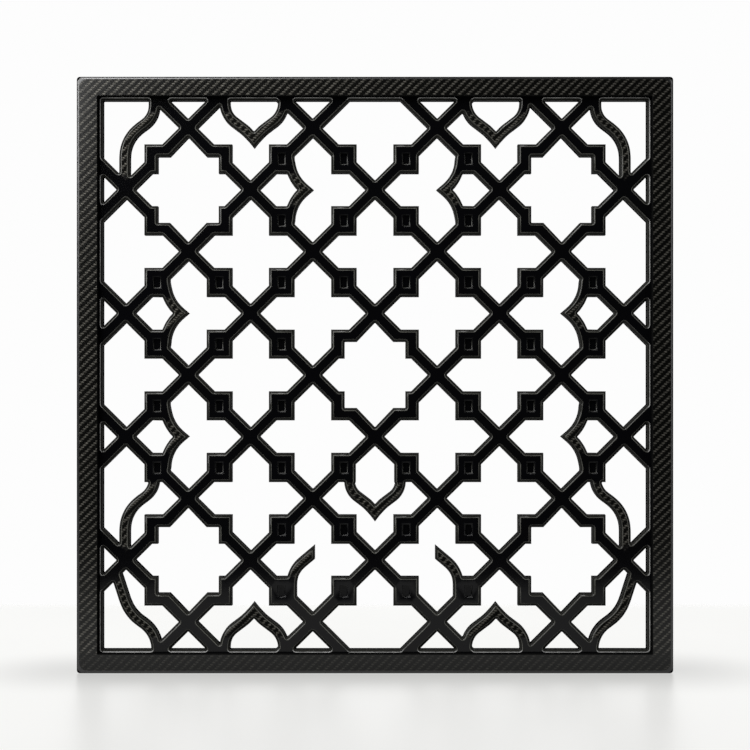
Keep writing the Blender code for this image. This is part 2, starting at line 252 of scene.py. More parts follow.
@dataclass(frozen=True)
class CarbonTwill:
    """2x2 twill of 3K carbon tow in clear epoxy, cured against a polished mould.

    It gives the eye slanting ribs of short dark grey beads on near-black, under a thin gloss.
    """

    # Spacing of the tows, and how many make one rib
    warp_spacing: float = 0.00213
    weft_spacing: float = 0.00204
    rib_tows: int = 4
    # How far the tows stray from straight, and over what length
    wander: float = 0.0006
    wander_length: float = 0.016
    # The weft's colour is partly a painted sheen: the same tow as the warp, made far more reflective to stand
    # in for overhead light catching tows that lie across it
    warp_colour: str = "#080807"
    weft_sheen_colour: str = "#595751"
    tow_depth: float = 0.00012
    relief: float = 0.5
    # How many tows a patch of dimmer or brighter beads spans, and what share of their colour it shows
    patch_tows: float = 1.4
    dim_share: float = 0.4
    bright_share: float = 1.2
    # Towards the foot the beads are painted dimmer: painted shade on the bottom rail, which the lamps reach
    # less
    foot_shade_height: float = 0.0185
    foot_shade_fade: float = 0.004
    foot_shade_share: float = 0.3
    roughness: float = 0.56
    coat: float = 0.6
    coat_roughness: float = 0.2

    def pattern(self, tree: Tree, lie: Lie) -> tuple[Socket, Socket]:
        """Adds the weave to a material.

        Args:
            tree: the material's tree.
            lie: which axes the tows follow.

        Returns:
            The weave's colour, and its height from 0 to 1.
        """
        add = partial(add_node, tree)
        place = add("TexCoord").outputs["Object"]
        stray = add("TexNoise", {"Vector": place, "Scale": 1 / self.wander_length, "Detail": 1.0})
        centred = add("VectorMath", {0: stray.outputs["Color"], 1: (0.5,) * 3}, operation="SUBTRACT")
        strayed = add("VectorMath", {0: centred, 1: (self.wander,) * 3, 2: place}, operation="MULTIPLY_ADD")
        axes = add("SeparateXYZ", {0: strayed}).outputs
        counts, cells, crowns = [], [], []
        for axis, spacing in zip(lie.value, (self.warp_spacing, self.weft_spacing)):
            count = add("Math", {0: axes[axis], 1: spacing}, operation="DIVIDE")
            cell = add("Math", {0: count}, operation="FLOOR")
            turn = add("Math", {0: count, 1: math.pi}, operation="MULTIPLY")
            wave = add("Math", {0: turn}, operation="SINE")
            crown = add("Math", {0: wave}, operation="ABSOLUTE")
            counts.append(count)
            cells.append(cell)
            crowns.append(crown)
        lane = add("Math", {0: cells[0], 1: cells[1]}, operation="SUBTRACT")
        step = add("Math", {0: lane, 1: float(self.rib_tows)}, operation="FLOORED_MODULO")
        # The weft lies on top in the second half of each rib
        on_top = add("Math", {0: step, 1: self.rib_tows / 2 - 0.5}, operation="GREATER_THAN")
        # Each float arches over the two tows that it crosses
        arches = []
        for ahead, behind, shift in ((counts[0], cells[1], 0.0), (cells[0], counts[1], 1.0)):
            along = add("Math", {0: ahead, 1: behind}, operation="SUBTRACT")
            turn = add("Math", {0: along, 1: math.pi / 2, 2: shift * math.pi / 2}, operation="MULTIPLY_ADD")
            wave = add("Math", {0: turn}, operation="SINE")
            arches.append(add("Math", {0: wave}, operation="ABSOLUTE"))
        weft = add("Math", {0: crowns[1], 1: arches[0]}, operation="MULTIPLY")
        warp = add("Math", {0: crowns[0], 1: arches[1]}, operation="MULTIPLY")
        height = add("Mix", {0: on_top, 2: warp, 3: weft}, data_type="FLOAT")
        # The weft float's colour peaks at its crown: painted sheen over the weave's real floats
        weft_bead_sheen = add("Math", {0: on_top, 1: weft}, operation="MULTIPLY")
        patch = add(
            "TexNoise", {"Vector": place, "Scale": 1 / (self.patch_tows * self.warp_spacing), "Detail": 1.0}
        )
        share = add(
            "MapRange",
            {
                "Value": patch.outputs["Fac"],
                "From Min": NOISE_LOW,
                "From Max": NOISE_HIGH,
                "To Min": self.dim_share,
                "To Max": self.bright_share,
            },
        )
        # Painted shade: the beads dim towards the foot
        clear = add(
            "MapRange",
            {
                "Value": add("SeparateXYZ", {0: place}).outputs["Z"],
                "From Min": self.foot_shade_height,
                "From Max": self.foot_shade_height + self.foot_shade_fade,
                "To Min": self.foot_shade_share,
                "To Max": 1.0,
            },
        )
        shown = add("Math", {0: share, 1: clear}, operation="MULTIPLY")
        lit = add("Math", {0: weft_bead_sheen, 1: shown}, operation="MULTIPLY")
        colour = add(
            "Mix",
            {0: lit, MIX_FROM: linear(self.warp_colour), MIX_TO: linear(self.weft_sheen_colour)},
            data_type="RGBA",
        )
        return colour.outputs[MIXED], height.outputs[0]

    def material(self, lie: Lie) -> Material:
        """Mixes the cloth's finish for a face that its tows lie along.

        Args:
            lie: which axes the tows follow.

        Returns:
            The material.
        """
        material, tree, shader = new_surface(f"carbon twill in clear epoxy, {lie.name.lower()}")
        colour, height = self.pattern(tree, lie)
        bump = add_node(tree, "Bump", {"Strength": self.relief, "Distance": self.tow_depth, "Height": height})
        finish = {
            "Base Color": colour,
            "Normal": bump,
            "Metallic": 1.0,
            "Roughness": self.roughness,
            "Coat Weight": self.coat,
            "Coat Roughness": self.coat_roughness,
        }
        set_inputs(shader, finish)
        return material


@dataclass(frozen=True)
class ResinEdge:
    """Clear epoxy over black at the frame's arrises, where the cloth stops short of the mould's edge.

    It gives the eye a plain, smooth dark line with one soft highlight.
    """

    colour: str = "#0a0a0a"
    roughness: float = 0.3
    specular: float = 0.6
    # Ripples to the metre, their depth and how strongly they show
    ripple_rate: float = 180.0
    ripple_depth: float = 0.0002
    ripple_strength: float = 0.1

    def material(self) -> Material:
        """Mixes the resin's finish, with the faint ripple that flatting leaves.

        Returns:
            The material.
        """
        material, tree, shader = new_surface("clear epoxy over black")
        finish = {
            "Base Color": linear(self.colour),
            "Roughness": self.roughness,
            "Specular IOR Level": self.specular,
            "Normal": add_ripple(tree, self.ripple_rate, self.ripple_depth, self.ripple_strength),
        }
        set_inputs(shader, finish)
        return material


@dataclass(frozen=True)
class BlackLacquer:
    """Sprayed gloss black lacquer, flatted and polished.

    It gives the eye a deep black with fine highlights along the arrises and a trace of orange peel.
    """

    colour: str = "#040405"
    roughness: float = 0.11
    specular: float = 0.2
    peel_size: float = 0.0025
    peel_depth: float = 0.00004
    peel_strength: float = 0.15

    def peel(self, tree: Tree) -> Node:
        """Adds the orange peel to a material."""
        return add_ripple(tree, 1 / self.peel_size, self.peel_depth, self.peel_strength)

    def material(self) -> Material:
        """Mixes the plain lacquer, for the roundings, the pockets and the back.

        Returns:
            The material.
        """
        material, tree, shader = new_surface("gloss black lacquer")
        finish = {
            "Base Color": linear(self.colour),
            "Roughness": self.roughness,
            "Specular IOR Level": self.specular,
            "Normal": self.peel(tree),
        }
        set_inputs(shader, finish)
        return material


@dataclass(frozen=True)
class LatticeGrid:
    """The grid that says where the lattice's front is lacquered: on its straps, bosses and lip."""

    column_pitch: float = 0.0629
    row_pitch: float = 0.0624
    middle_height: float = 0.3
    strap_width: float = 0.0135
    boss_width: float = 0.0258
    boss_height: float = 0.0294
    lip_half_width: float = 0.2748
    lip_half_height: float = 0.2772
    # How far the lacquer covers fully, and runs out thinly over the twill, from the edge of a strap or boss
    full_cover: float = -0.001
    overspray: float = 0.0045
    # How far out from its edge the lip's painted highlight is at its brightest, and where the brighter painted
    # highlight on its head starts
    lip_highlight_reach: float = 0.0015
    head_highlight_start: float = 0.0005

    def across_and_up(self, tree: Tree) -> tuple[Socket, Socket]:
        """Adds a point's place from the lattice's middle.

        Args:
            tree: the material's tree.

        Returns:
            Its place across, and its height over the middle.
        """
        place = add_node(tree, "TexCoord").outputs["Object"]
        axes = add_node(tree, "SeparateXYZ", {0: place}).outputs
        up = add_node(tree, "Math", {0: axes["Z"], 1: self.middle_height}, operation="SUBTRACT")
        return axes["X"], up.outputs[0]

    def bare_share(self, tree: Tree) -> Socket:
        """Adds the share of bare twill: 0 on a strap, boss or the lip, 1 well out on a curved band.

        Args:
            tree: the material's tree.

        Returns:
            The share, from 0 to 1.
        """
        across, up = self.across_and_up(tree)
        add = partial(add_node, tree)
        column = add("Math", {0: across, 1: self.column_pitch}, operation="DIVIDE")
        row = add("Math", {0: up, 1: self.row_pitch}, operation="DIVIDE")
        clear = []
        strap_step = self.column_pitch * self.row_pitch / math.hypot(self.column_pitch, self.row_pitch)
        for operation in ("ADD", "SUBTRACT"):
            slanted = add("Math", {0: column, 1: row}, operation=operation)
            fold = add("Math", {0: slanted, 1: 1.0}, operation="PINGPONG")
            distance = add(
                "Math",
                {0: fold, 1: -strap_step, 2: strap_step - self.strap_width / 2},
                operation="MULTIPLY_ADD",
            )
            clear.append(distance)
        boss_sides = []
        for count, pitch, size in (
            (column, self.column_pitch, self.boss_width),
            (row, self.row_pitch, self.boss_height),
        ):
            fold = add("Math", {0: count, 1: 0.5}, operation="PINGPONG")
            distance = add("Math", {0: fold, 1: -pitch, 2: (pitch - size) / 2}, operation="MULTIPLY_ADD")
            boss_sides.append(distance)
        boss = add("Math", {0: boss_sides[0], 1: boss_sides[1]}, operation="MAXIMUM")
        clear.append(boss)
        for place_on_axis, half_size in ((across, self.lip_half_width), (up, self.lip_half_height)):
            outwards = add("Math", {0: place_on_axis}, operation="ABSOLUTE")
            inside = add("Math", {0: half_size, 1: outwards}, operation="SUBTRACT")
            clear.append(inside)
        nearest = clear[0]
        for other in clear[1:]:
            nearest = add("Math", {0: nearest, 1: other}, operation="MINIMUM")
        share = add(
            "MapRange",
            {"Value": nearest, "From Min": self.full_cover, "From Max": self.overspray},
            interpolation_type="SMOOTHSTEP",
        )
        return share.outputs["Result"]

    def lip_highlight_shares(self, tree: Tree) -> tuple[Node, Node]:
        """Adds two shares of painted highlight that are 1 on the lip's own arris and 0 inside it: all round,
        and along the head.

        Args:
            tree: the material's tree.

        Returns:
            The two shares, from 0 to 1.
        """
        add = partial(add_node, tree)
        across, up = self.across_and_up(tree)
        over = []
        for place_on_axis, half_size in ((across, self.lip_half_width), (up, self.lip_half_height)):
            outwards = add("Math", {0: place_on_axis}, operation="ABSOLUTE")
            over.append(add("Math", {0: outwards, 1: half_size}, operation="SUBTRACT"))
        outermost = add("Math", {0: over[0], 1: over[1]}, operation="MAXIMUM")
        edge = self.lip_half_height
        all_round = add("MapRange", {"Value": outermost, "From Min": 0.0, "From Max": self.lip_highlight_reach})
        head = add(
            "MapRange", {"Value": up, "From Min": edge + self.head_highlight_start, "From Max": edge + self.lip_highlight_reach}
        )
        return all_round, head


@dataclass(frozen=True)
class LatticeFront:
    """The lattice's front face: the same twill, sprayed black except along the curved bands.

    It gives the eye mottled grey bands that fade into gloss black where they meet a strap.
    """

    twill: CarbonTwill
    lacquer: BlackLacquer
    grid: LatticeGrid
    # The bare cloth is duller than the frame's, which has a thicker coat
    bare_metallic: float = 0.9

    def material(self) -> Material:
        """Mixes the twill and the lacquer in one finish.

        Returns:
            The material.
        """
        material, tree, shader = new_surface("gloss black lacquer over carbon twill")
        bare = self.grid.bare_share(tree)
        cloth, height = self.twill.pattern(tree, Lie.FRONT)
        add = partial(add_node, tree)
        colour = add("Mix", {0: bare, MIX_FROM: linear(self.lacquer.colour), MIX_TO: cloth}, data_type="RGBA")
        roughness = add(
            "MapRange", {"Value": bare, "To Min": self.lacquer.roughness, "To Max": self.twill.roughness}
        )
        metallic = add("Math", {0: bare, 1: self.bare_metallic}, operation="MULTIPLY")
        shown = add("Math", {0: height, 1: bare}, operation="MULTIPLY")
        bump = add(
            "Bump",
            {
                "Strength": self.twill.relief,
                "Distance": self.twill.tow_depth,
                "Height": shown,
                "Normal": self.lacquer.peel(tree),
            },
        )
        finish = {
            "Base Color": colour.outputs[MIXED],
            "Roughness": roughness,
            "Metallic": metallic,
            "Specular IOR Level": self.lacquer.specular,
            "Normal": bump,
        }
        set_inputs(shader, finish)
        return material


@dataclass(frozen=True)
class PaintedHighlightArris:
    """Black lacquer arrises with a painted highlight: a grey line painted along them in place of the lamps'
    glint.

    It gives the eye a fine satin line beside each black chamfer, painted brighter round the lip, and dark
    underneath as painted shade.
    """

    grid: LatticeGrid
    # Painted highlight colours: the line itself, brighter on the lip and brightest on the lip's head, and the
    # black where the highlight is left off
    colour: str = "#484843"
    lip_highlight_colour: str = "#8c8c8a"
    head_highlight_colour: str = "#e0e0dc"
    unhighlighted_colour: str = "#060606"
    roughness: float = 0.34
    specular: float = 0.22
    underside_specular: float = 0.03
    # Random patches along the painted highlight, to the metre, and the least share of it in them
    highlight_patch_rate: float = 90.0
    least_highlight: float = 0.45
    # The normal's Z at which an arris starts to look down, and at which it is all painted shade
    level_tilt: float = -0.02
    under_tilt: float = -0.12
    # Heights between which the painted shade on an underside goes from partial to nearly full, darker lower
    # down, and the shares there
    upper_height: float = 0.5
    lower_height: float = 0.25
    upper_share: float = 0.55
    lower_share: float = 0.9

    def material(self) -> Material:
        """Mixes the painted highlight line's finish, uneven along its length, with painted shade underneath.

        Returns:
            The material.
        """
        material, tree, shader = new_surface("rubbed arris of black lacquer")
        add = partial(add_node, tree)
        place = add("TexCoord").outputs["Object"]
        highlight_patches = add("TexNoise", {"Vector": place, "Scale": self.highlight_patch_rate, "Detail": 3.0})
        highlight_strength = add(
            "MapRange",
            {
                "Value": highlight_patches.outputs["Fac"],
                "From Min": NOISE_LOW,
                "From Max": NOISE_HIGH,
                "To Min": self.least_highlight,
                "To Max": 1.0,
            },
        )
        # Painted shade: an arris that looks down loses its painted highlight, more so lower down
        under = self.underside_shade_share(tree)
        unhighlighted = linear(self.unhighlighted_colour)
        shade = linear(self.colour)
        # Painted highlight: brighter all round the lip, brightest along its head
        for share, colour in zip(
            self.grid.lip_highlight_shares(tree), (linear(self.lip_highlight_colour), linear(self.head_highlight_colour))
        ):
            shade = add("Mix", {0: share, MIX_FROM: shade, MIX_TO: colour}, data_type="RGBA").outputs[MIXED]
        patchy_highlight = add("Mix", {0: highlight_strength, MIX_FROM: unhighlighted, MIX_TO: shade}, data_type="RGBA")
        colour = add("Mix", {0: under, MIX_FROM: patchy_highlight.outputs[MIXED], MIX_TO: unhighlighted}, data_type="RGBA")
        gloss = add("MapRange", {"Value": under, "To Min": self.specular, "To Max": self.underside_specular})
        finish = {"Base Color": colour.outputs[MIXED], "Roughness": self.roughness, "Specular IOR Level": gloss}
        set_inputs(shader, finish)
        return material

    def underside_shade_share(self, tree: Tree) -> Socket:
        """Adds the share of painted shade on an arris that looks down, which takes away its painted highlight.

        Args:
            tree: the material's tree.

        Returns:
            The share: 0 on an arris that looks up or aside, and the more the lower an underside lies.
        """
        add = partial(add_node, tree)
        place = add("TexCoord")
        facing = add("SeparateXYZ", {"Vector": place.outputs["Normal"]})
        down = add(
            "MapRange",
            {"Value": facing.outputs["Z"], "From Min": self.level_tilt, "From Max": self.under_tilt},
        )
        height = add("SeparateXYZ", {"Vector": place.outputs["Object"]})
        low = add(
            "MapRange",
            {
                "Value": height.outputs["Z"],
                "From Min": self.upper_height,
                "From Max": self.lower_height,
                "To Min": self.upper_share,
                "To Max": self.lower_share,
            },
        )
        return add("Math", {0: down, 1: low}, operation="MULTIPLY").outputs[0]


@dataclass(frozen=True)
class MilledLaminate:
    """Milled carbon laminate brushed with black: matt on upright walls, greyer on the chamfers.

    It gives the eye a dull black with the faint level lines of the laminate's plies.
    """

    name: str = "milled carbon edge, matt black"
    colour: str = "#040404"
    ply_colour: str = "#0c0c0c"
    roughness: float = 0.7
    # A real ply; each is drawn 2 pi times as thick, coarse enough to show
    ply: float = 0.00025
    waviness: float = 1.5

    def material(self) -> Material:
        """Mixes the milled finish.

        Returns:
            The material.
        """
        material, tree, shader = new_surface(self.name)
        place = add_node(tree, "TexCoord").outputs["Object"]
        plies = add_node(
            tree,
            "TexWave",
            {
                "Vector": place,
                "Scale": 1 / (WAVE_RATE * self.ply),
                "Distortion": self.waviness,
                "Detail": 1.0,
            },
            bands_direction="Y",
        )
        colour = add_node(
            tree,
            "Mix",
            {0: plies.outputs["Fac"], MIX_FROM: linear(self.colour), MIX_TO: linear(self.ply_colour)},
            data_type="RGBA",
        )
        finish = {"Base Color": colour.outputs[MIXED], "Roughness": self.roughness, "Specular IOR Level": 0.0}
        set_inputs(shader, finish)
        return material


class Finish(Enum):
    """The lattice's finishes, by the number of their material."""

    FRONT = 0
    LACQUER = 1
    RUBBED = 2
    WALL = 3
    CHAMFER = 4


@dataclass
class EdgeFrame:
    """The square edge frame: one moulded ring with rounded arrises and a rebate for the lattice."""

    stile_face: float = 0.0213
    rail_face: float = 0.0197
    corner_radius: float = 0.003
    # The cloth's own corner at the front is rounder than the ring's outline
    front_corner_radius: float = 0.008
    sight_corner_radius: float = 0.0006
    front_arris: float = 0.003
    back_arris: float = 0.001
    sight_arris: float = 0.0008
    flange_thickness: float = 0.008
    rebate_width: float = 0.008
    # Segments of a corner seen from the front, of the front arris and of each small one
    corner_segments: int = 8
    front_segments: int = 6
    small_segments: int = 3
    # The strips of the cross-section that were trimmed after moulding, counted from the back of the outside
    milled_bands: tuple[int, ...] = (4, 5, 6, 11, 12, 13, 14, 15, 16)

    def ring(
        self, mesh: Mesh, half_width: float, half_height: float, radius: float, y: float
    ) -> list[bmesh.types.BMEdge]:
        """Adds one rounded rectangle of edges, upright across the Y axis.

        Args:
            mesh: the bmesh that gets it.
            half_width: half its size along X.
            half_height: half its size along Z.
            radius: the radius of its corners.
            y: its depth.

        Returns:
            Its edges.
        """
        older = set(mesh.edges)
        middle = (CAD_BOX[0] + CAD_BOX[1]) / 2
        corners = []
        for right, up in ((-1, -1), (1, -1), (1, 1), (-1, 1)):
            corners.append(mesh.verts.new((middle.x + right * half_width, y, middle.z + up * half_height)))
        for index in range(4):
            mesh.edges.new((corners[index - 1], corners[index]))
        round_corners(mesh, corners, radius, self.corner_segments)
        return [edge for edge in mesh.edges if edge not in older]

    def profile(self) -> list[tuple[float, float, float, float]]:
        """The ring's cross-section as rounded rectangles, from the back of the outside to the rebate.

        Returns:
            Half width, half height, corner radius and depth of each.
        """
        low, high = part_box("frame")
        half_width, half_height = (high.x - low.x) / 2, (high.z - low.z) / 2
        sight_width, sight_height = half_width - self.stile_face, half_height - self.rail_face
        stops = []
        for inset, depth in quarter_round(self.back_arris, self.small_segments):
            stops.append((half_width - inset, half_height - inset, self.corner_radius, high.y - depth))
        growth = self.front_corner_radius - self.corner_radius
        for step, (depth, inset) in enumerate(quarter_round(self.front_arris, self.front_segments)):
            radius = self.corner_radius + growth * step / self.front_segments
            stops.append((half_width - inset, half_height - inset, radius, low.y + depth))
        for outset, depth in quarter_round(self.sight_arris, self.small_segments):
            radius = self.sight_corner_radius + outset
            stops.append((sight_width + outset, sight_height + outset, radius, low.y + depth))
        flange_y = low.y + self.flange_thickness
        rebate = self.rebate_width
        stops.append((sight_width, sight_height, self.sight_corner_radius, flange_y))
        stops.append((sight_width + rebate, sight_height + rebate, self.sight_corner_radius, flange_y))
        stops.append((sight_width + rebate, sight_height + rebate, self.sight_corner_radius, high.y))
        return stops

    def build(self, twill: CarbonTwill, resin: ResinEdge, milled_edge: Material) -> Object:
        """Models and dresses the ring.

        Args:
            twill: the cloth on its flats.
            resin: the finish of its moulded arrises.
            milled_edge: the finish where it was trimmed and rebated.

        Returns:
            The piece.
        """
        mesh = bmesh.new()
        # The rings are bridged while each stands behind the last, and then go to their own depths
        rings = []
        depths = {}
        for count, (half_width, half_height, radius, y) in enumerate(self.profile()):
            ring = self.ring(mesh, half_width, half_height, radius, count * self.flange_thickness)
            depths.update({vert: y for edge in ring for vert in edge.verts})
            rings.append(ring)
        milled = []
        for band, (ring, following) in enumerate(zip(rings, rings[1:] + rings[:1])):
            faces = bmesh.ops.bridge_loops(mesh, edges=ring + following)["faces"]
            if band in self.milled_bands:
                milled.extend(faces)
        for vert, y in depths.items():
            vert.co.y = y
        bmesh.ops.recalc_face_normals(mesh, faces=mesh.faces)
        low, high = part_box("frame")
        # Numbers of its materials: 0 for the resin, then one for each lie, whose tows leave out one axis
        for face in milled:
            face.material_index = len(Lie) + 1
        for face in set(mesh.faces) - set(milled):
            for number, axis in enumerate(("y", "x", "z"), start=1):
                place = getattr(face.calc_center_median(), axis)
                on_outside = min(place - getattr(low, axis), getattr(high, axis) - place) < SAME_PLACE
                if on_outside and abs(getattr(face.normal, axis)) > FLAT_NORMAL:
                    face.material_index = number
        materials = [resin.material()] + [twill.material(lie) for lie in Lie] + [milled_edge]
        piece = finished_piece("edge_frame", mesh, materials)
        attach(piece, "root")
        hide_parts("frame")
        return piece


@dataclass
class PiercedLattice:
    """The pierced plate: straps, bosses and curved bands in one, with chamfered and rounded arrises."""

    chamfer: float = 0.0022
    # Radii that round the chamfer into the flat above it and the wall below it
    arris_radius: float = 0.0016
    wall_radius: float = 0.0008
    arris_segments: int = 5
    wall_segments: int = 3
    # How many of the arris's strips, counted from the flat, get the painted highlight
    highlight_strips: int = 3
    back_arris: float = 0.0004
    # Radius that the cutter leaves in an opening's corners
    cutter_radius: float = 0.0007
    # An outline has a corner where it turns further than the first, and a curve where further than the second
    corner_turn: float = math.radians(30)
    curve_turn: float = math.radians(2)
    corner_segments: int = 4
    curve_segments: int = 2
    # The most of an edge that the easing at its end takes
    eased_share: float = 1 / 3
    # Steps in the outline that are shorter than this are sanded into one corner
    eased_step: float = 0.0026
    pocket_width: float = 0.0078
    pocket_height: float = 0.0117
    pocket_depth: float = 0.003
    pocket_arris: float = 0.0005
    pocket_fillet: float = 0.001
    fillet_segments: int = 4
    # The step of a pocket's fillet that gets a painted grey highlight, and the height above which it gets it,
    # lower pockets being left dark as painted shade
    pocket_highlight_step: int = 4
    pocket_highlight_height: float = 0.2
    # The normal's Z under which a fillet looks down too steeply for the painted highlight and is left dark as
    # painted shade
    pocket_under_tilt: float = -0.5

    def cad_copy(self) -> Mesh:
        """Copies the CAD's lattice and merges the doubles in it."""
        mesh = bmesh.new()
        mesh.from_mesh(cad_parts["lattice"].data)
        bmesh.ops.remove_doubles(mesh, verts=mesh.verts, dist=SAME_PLACE)
        return mesh

    def flat_faces(self, mesh: Mesh, y: float) -> list[Face]:
        """Finds the faces that lie at one depth.

        Args:
            mesh: the bmesh to look through.
            y: the depth.

        Returns:
            Its faces whose corners are all there.
        """
        return [face for face in mesh.faces if all(abs(vert.co.y - y) < SAME_PLACE for vert in face.verts)]

    def material_turns(self, mesh: Mesh) -> dict[Vert, float]:
        """Measures how far an outline turns at each vertex.

        Args:
            mesh: a flat bmesh whose vertices all lie on its outlines.

        Returns:
            The turn at each vertex, positive in an opening's corner and negative at a corner of the material.
        """
        return {vert: sum(loop.calc_angle() for loop in vert.link_loops) - math.pi for vert in mesh.verts}

    def outlines(self, y: float) -> Mesh:
        """The edges of all the openings and of the plate, laid at one depth, with corners and curves eased.

        Args:
            y: the depth.

        Returns:
            A bmesh of closed rows of edges.
        """
        _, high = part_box("lattice")
        mesh = self.cad_copy()
        back = set(self.flat_faces(mesh, high.y))
        bmesh.ops.delete(mesh, geom=[face for face in mesh.faces if face not in back], context="FACES")
        turns = self.material_turns(mesh)
        rims = {edge for edge in mesh.edges if len(edge.link_faces) == 1}
        steps = [
            edge
            for edge in rims
            if edge.calc_length() < self.eased_step
            and all(abs(turns[vert]) > self.corner_turn for vert in edge.verts)
        ]
        # An edge square to a step moves with its end, so that it stays level or upright
        for step in steps:
            middle = (step.verts[0].co + step.verts[1].co) / 2
            for vert in step.verts:
                shift = middle - vert.co
                for edge in (set(vert.link_edges) & rims) - {step}:
                    far = edge.other_vert(vert)
                    if abs((far.co - vert.co).normalized().dot(shift.normalized())) < SQUARE_ON:
                        far.co += shift
        bmesh.ops.collapse(mesh, edges=steps)
        turns = self.material_turns(mesh)
        inner = [edge for edge in mesh.edges if len(edge.link_faces) > 1]
        bmesh.ops.delete(mesh, geom=inner, context="EDGES")
        bmesh.ops.delete(mesh, geom=mesh.faces[:], context="FACES_ONLY")
        bmesh.ops.translate(mesh, verts=mesh.verts, vec=(0, y - high.y, 0))
        offsets = {}
        for vert, turn in turns.items():
            room = self.eased_share * min(edge.calc_length() for edge in vert.link_edges)
            if self.curve_turn < abs(turn) <= self.corner_turn:
                offsets[vert] = (room, self.curve_segments)
            elif turn > self.corner_turn:
                offsets[vert] = (min(self.cutter_radius * math.tan(turn / 2), room), self.corner_segments)
        for vert, (offset, segments) in offsets.items():
            round_corners(mesh, [vert], offset, segments)
        return mesh

    def pocket_middles(self) -> list[Vector]:
        """Finds the pockets.

        Returns:
            The middle of each one's floor.
        """
        low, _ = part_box("lattice")
        mesh = self.cad_copy()
        floors = bmesh.ops.dissolve_faces(mesh, faces=self.flat_faces(mesh, low.y + self.pocket_depth))
        middles = [face.calc_center_median() for face in floors["region"]]
        mesh.free()
        return middles

    def arris_steps(self) -> list[tuple[float, float]]:
        """How far each ring of the front arris goes in from the opening, and forward.

        Returns:
            Pairs of inset and rise, from the foot of the lower rounding up to the flat.
        """
        eighth = 2 * HALF_CHAMFER
        places = []
        foot = self.wall_radius * math.tan(HALF_CHAMFER)
        for step in range(self.wall_segments + 1):
            turn = eighth * step / self.wall_segments
            inset = self.wall_radius * (1 - math.cos(turn))
            places.append((inset, self.wall_radius * math.sin(turn) - foot))
        head = self.arris_radius * math.tan(HALF_CHAMFER)
        for step in range(self.arris_segments + 1):
            turn = eighth * (1 - step / self.arris_segments)
            inset = self.chamfer + head - self.arris_radius * math.sin(turn)
            places.append((inset, self.chamfer - self.arris_radius * (1 - math.cos(turn))))
        return [(after[0] - before[0], after[1] - before[1]) for before, after in zip(places, places[1:])]

    def raise_inset(self, mesh: Mesh, faces: list[Face], inset: float, rise: float) -> list[Face]:
        """Draws a flat region in from its edges and moves it along Y, leaving a strip of faces round it.

        Args:
            mesh: the bmesh.
            faces: the region's faces.
            inset: how far in it is drawn.
            rise: how far it moves, towards -Y where it is positive.

        Returns:
            The strip's faces.
        """
        strip = bmesh.ops.inset_region(
            mesh, faces=faces, thickness=inset, use_boundary=True, use_even_offset=True
        )
        verts = list({vert for face in faces for vert in face.verts})
        bmesh.ops.translate(mesh, verts=verts, vec=(0, -rise, 0))
        return strip["faces"]

    def add_pockets(self, mesh: Mesh, y: float) -> list[Face]:
        """Lays the rim of each boss's pocket as one face.

        Args:
            mesh: the bmesh that gets them.
            y: their depth.

        Returns:
            The faces.
        """
        upright = Matrix.Rotation(math.radians(90), 4, "X")
        width = self.pocket_width + 2 * self.pocket_arris
        height = self.pocket_height + 2 * self.pocket_arris
        stretched = upright @ Matrix.Diagonal((width, height, 1, 1))
        pockets = []
        for middle in self.pocket_middles():
            place = Matrix.Translation((middle.x, y, middle.z)) @ stretched
            grid = bmesh.ops.create_grid(mesh, x_segments=1, y_segments=1, size=0.5, matrix=place)
            pockets.append(grid["verts"][0].link_faces[0])
        return pockets

    def sink_pockets(self, mesh: Mesh, pockets: list[Face]) -> None:
        """Sinks the pockets: a small arris, upright walls and a floor with rounded edges.

        Args:
            mesh: the bmesh.
            pockets: the face in each rim, which becomes the floor.
        """
        radius = self.pocket_fillet
        wall = self.pocket_depth - self.pocket_arris - radius
        steps = [(self.pocket_arris, self.pocket_arris), (0.0, wall)]
        fillet = quarter_round(radius, self.fillet_segments)
        for before, after in zip(fillet, fillet[1:]):
            steps.append((after[1] - before[1], before[0] - after[0]))
        for number, (inset, sinking) in enumerate(steps):
            for face in self.raise_inset(mesh, pockets, inset, -sinking):
                # Painted highlight on one step of the fillet, left off low pockets and down-facing fillets as
                # painted shade
                high_enough = face.calc_center_median().z > self.pocket_highlight_height
                gets_highlight = high_enough and face.normal.z > self.pocket_under_tilt
                highlighted = number == self.pocket_highlight_step and gets_highlight
                face.material_index = Finish.RUBBED.value if highlighted else Finish.LACQUER.value

    def refill(self, mesh: Mesh, pockets: list[Face], y: float) -> list[Face]:
        """Fills the front flat anew between its final outlines, so that no sliver folds over.

        Args:
            mesh: the bmesh.
            pockets: the face in each pocket's rim, which stays.
            y: the flat's depth.

        Returns:
            The flat's new faces.
        """
        flat = set(self.flat_faces(mesh, y)) - set(pockets)
        rims = {edge for face in flat for edge in face.edges if not set(edge.link_faces) <= flat}
        bmesh.ops.delete(mesh, geom=list(flat), context="FACES")
        filled = bmesh.ops.triangle_fill(mesh, edges=list(rims), use_beauty=True, normal=(0, -1, 0))["geom"]
        faces = [item for item in filled if isinstance(item, Face)]
        for face in faces:
            face.material_index = Finish.FRONT.value
        return faces

